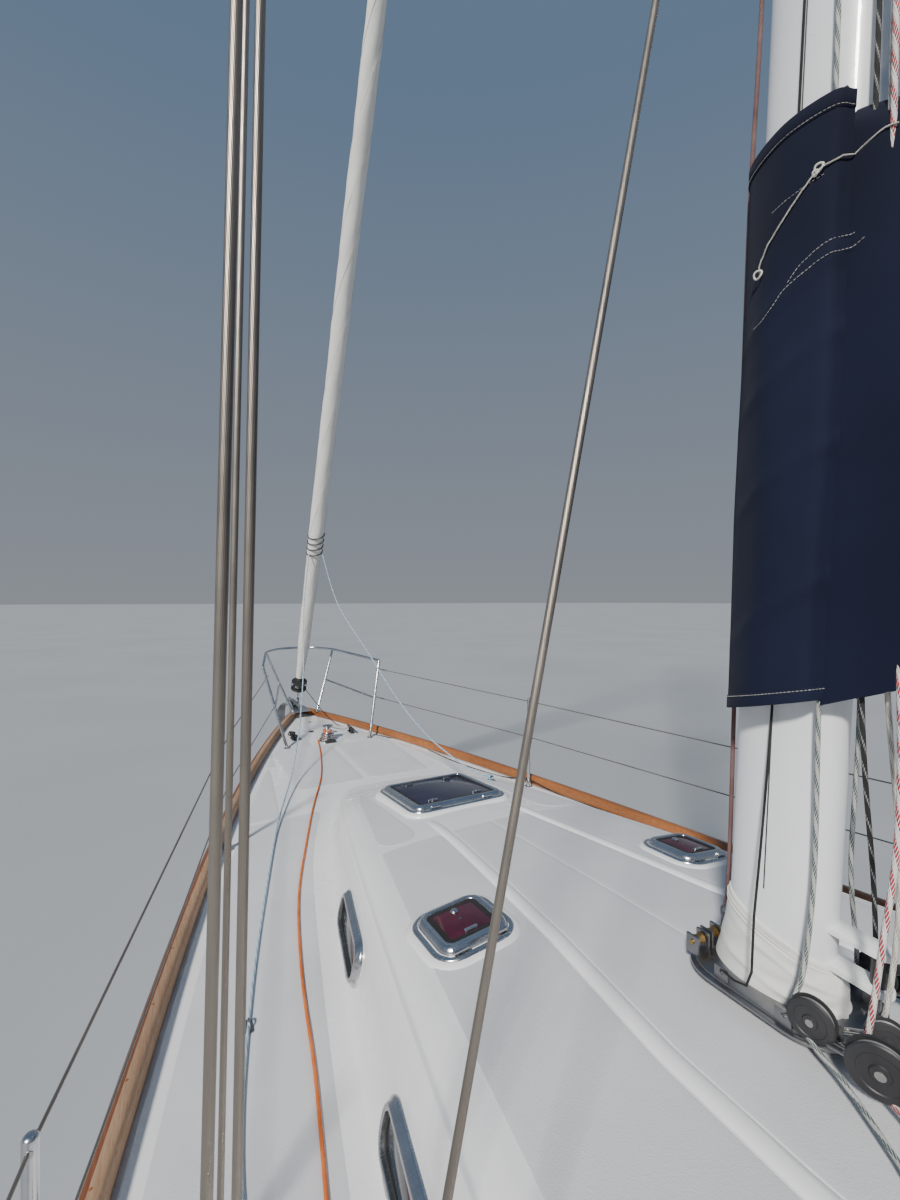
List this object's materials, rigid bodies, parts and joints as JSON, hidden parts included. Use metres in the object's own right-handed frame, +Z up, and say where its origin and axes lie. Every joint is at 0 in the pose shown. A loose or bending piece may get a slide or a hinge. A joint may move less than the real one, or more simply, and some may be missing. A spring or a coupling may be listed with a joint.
{
  "type": "sailing yacht",
  "caption": "Cruising sloop afloat: fin-keel hull, coachroof with hatches, teak toe rails, furled headsail, boom under a navy sail cover, wheel steering.",
  "frame": {"origin": "on the waterline, amidships, on the centreline", "axes": "+X to starboard, +Y towards the bow, +Z up; the boat floats upright with the water at z = 0"},
  "size_m": [4.2914, 14.2, 19.686],
  "materials": {
    "gelcoat": "smooth white gelcoat",
    "hatch_tint": "smoked acrylic in a polished frame",
    "teak": "varnished and weathered teak",
    "stainless": "polished stainless steel",
    "spar": "white painted aluminium",
    "antifouling": "matt dark antifouling",
    "bronze": "cast bronze",
    "black_fitting": "black anodised and moulded fittings",
    "navy_cloth": "navy acrylic canvas",
    "sailcloth": "woven sailcloth",
    "orange_line": "braided orange line"
  },
  "bodies": {
    "yacht": {"hull": "gelcoat", "cabin_moulding": "gelcoat", "cockpit_moulding": "gelcoat", "deck": "gelcoat", "coachroof": "gelcoat", "cockpit_coaming": "gelcoat", "sea_hood": "gelcoat", "washboards": "teak", "keel": "antifouling", "saildrive": "antifouling", "stemhead": "stainless", "anchor": "stainless", "windlass": "stainless", "pulpit": "stainless", "pushpit": "stainless", "pedestal": "gelcoat", "traveller": "black_fitting", "mast": "spar", "mast_collar": "stainless", "forestay": "black_fitting", "furled_genoa": "sailcloth", "backstay": "stainless", "cover_mast": "navy_cloth", "jackline": "orange_line", "caprail_port": "teak", "bow_cleat_port": "black_fitting", "guardrail_port": "stainless", "chainplates_port": "stainless", "spreader_lower_port": "spar", "spreader_upper_port": "spar", "shroud_cap_port": "stainless", "shroud_topmast_port": "stainless", "shroud_inner_port": "stainless", "shroud_lower_port": "stainless", "caprail_starboard": "teak", "bow_cleat_starboard": "black_fitting", "guardrail_starboard": "stainless", "chainplates_starboard": "stainless", "spreader_lower_starboard": "spar", "spreader_upper_starboard": "spar", "shroud_cap_starboard": "stainless", "shroud_topmast_starboard": "stainless", "shroud_inner_starboard": "stainless", "shroud_lower_starboard": "stainless"},
    "rudder": {"rudder": "antifouling"},
    "steering_wheel": {"steering_wheel": "stainless"},
    "propeller": {"propeller": "bronze"},
    "boom": {"boom": "spar", "boom_vang": "black_fitting", "cover_boom": "navy_cloth"},
    "hatch_forward": {"hatch_lid_forward": "hatch_tint"},
    "hatch_port": {"hatch_lid_port": "hatch_tint"},
    "hatch_starboard": {"hatch_lid_starboard": "hatch_tint"},
    "hatch_saloon": {"hatch_lid_saloon": "hatch_tint"},
    "anchor_locker_lid": {"anchor_locker_lid": "gelcoat"},
    "companionway_slide": {"companionway_slide": "gelcoat"},
    "seat_lid_port": {"seat_locker_lid_port": "teak"},
    "seat_lid_starboard": {"seat_locker_lid_starboard": "teak"},
    "winch_port": {"winch_drum_port": "stainless"},
    "winch_starboard": {"winch_drum_starboard": "stainless"}
  },
  "joints": [
    {"name": "rudder_turn", "type": "hinge", "parent": "yacht", "child": "rudder", "pos_m": [0, -5.85, 0], "axis": [0, 0, 1], "range_deg": [-35, 35]},
    {"name": "wheel_turn", "type": "hinge", "parent": "yacht", "child": "steering_wheel", "pos_m": [0, -4.6703, 1.44], "axis": [0, 1, 0], "range_deg": [-272, 272]},
    {"name": "propeller_spin", "type": "hinge", "parent": "yacht", "child": "propeller", "pos_m": [0, -3.0203, -1], "axis": [0, 1, 0], "continuous": true},
    {"name": "boom_swing", "type": "hinge", "parent": "yacht", "child": "boom", "pos_m": [0, 0.91354, 2.7], "axis": [0, -0.0479, 0.9988], "range_deg": [-70, 70]},
    {"name": "hatch_forward_hinge", "type": "hinge", "parent": "yacht", "child": "hatch_forward", "pos_m": [0, 2.87516, 1.64078], "axis": [1, 0, 0], "range_deg": [0, 85]},
    {"name": "hatch_port_hinge", "type": "hinge", "parent": "yacht", "child": "hatch_port", "pos_m": [-0.56645, 1.77426, 1.67514], "axis": [0.9947, 0.0049, 0.1028], "range_deg": [0, 85]},
    {"name": "hatch_starboard_hinge", "type": "hinge", "parent": "yacht", "child": "hatch_starboard", "pos_m": [0.56645, 1.77426, 1.67514], "axis": [0.9947, -0.0049, -0.1028], "range_deg": [0, 85]},
    {"name": "hatch_saloon_hinge", "type": "hinge", "parent": "yacht", "child": "hatch_saloon", "pos_m": [0, -0.15594, 1.74432], "axis": [1, 0, 0], "range_deg": [0, 85]},
    {"name": "anchor_locker_hinge", "type": "hinge", "parent": "yacht", "child": "anchor_locker_lid", "pos_m": [0, 5.966, 1.34829], "axis": [1, 0, 0], "range_deg": [0, 95]},
    {"name": "companionway_slide", "type": "slide", "parent": "yacht", "child": "companionway_slide", "axis": [0, 1, 0], "range_m": [0, 0.64]},
    {"name": "seat_lid_port_hinge", "type": "hinge", "parent": "yacht", "child": "seat_lid_port", "pos_m": [-0.965, -3.1, 0.8803], "axis": [0, -1, 0], "range_deg": [0, 82]},
    {"name": "seat_lid_starboard_hinge", "type": "hinge", "parent": "yacht", "child": "seat_lid_starboard", "pos_m": [0.965, -3.1, 0.8803], "axis": [0, 1, 0], "range_deg": [0, 82]},
    {"name": "winch_port_spin", "type": "hinge", "parent": "yacht", "child": "winch_port", "pos_m": [-1.105, -3.9, 1.3963], "axis": [0, 0, 1], "continuous": true},
    {"name": "winch_starboard_spin", "type": "hinge", "parent": "yacht", "child": "winch_starboard", "pos_m": [1.105, -3.9, 1.3963], "axis": [0, 0, 1], "continuous": true}
  ],
  "couplings": [
    {"joint": "wheel_turn", "follows": "rudder_turn", "ratio": 7.7}
  ]
}
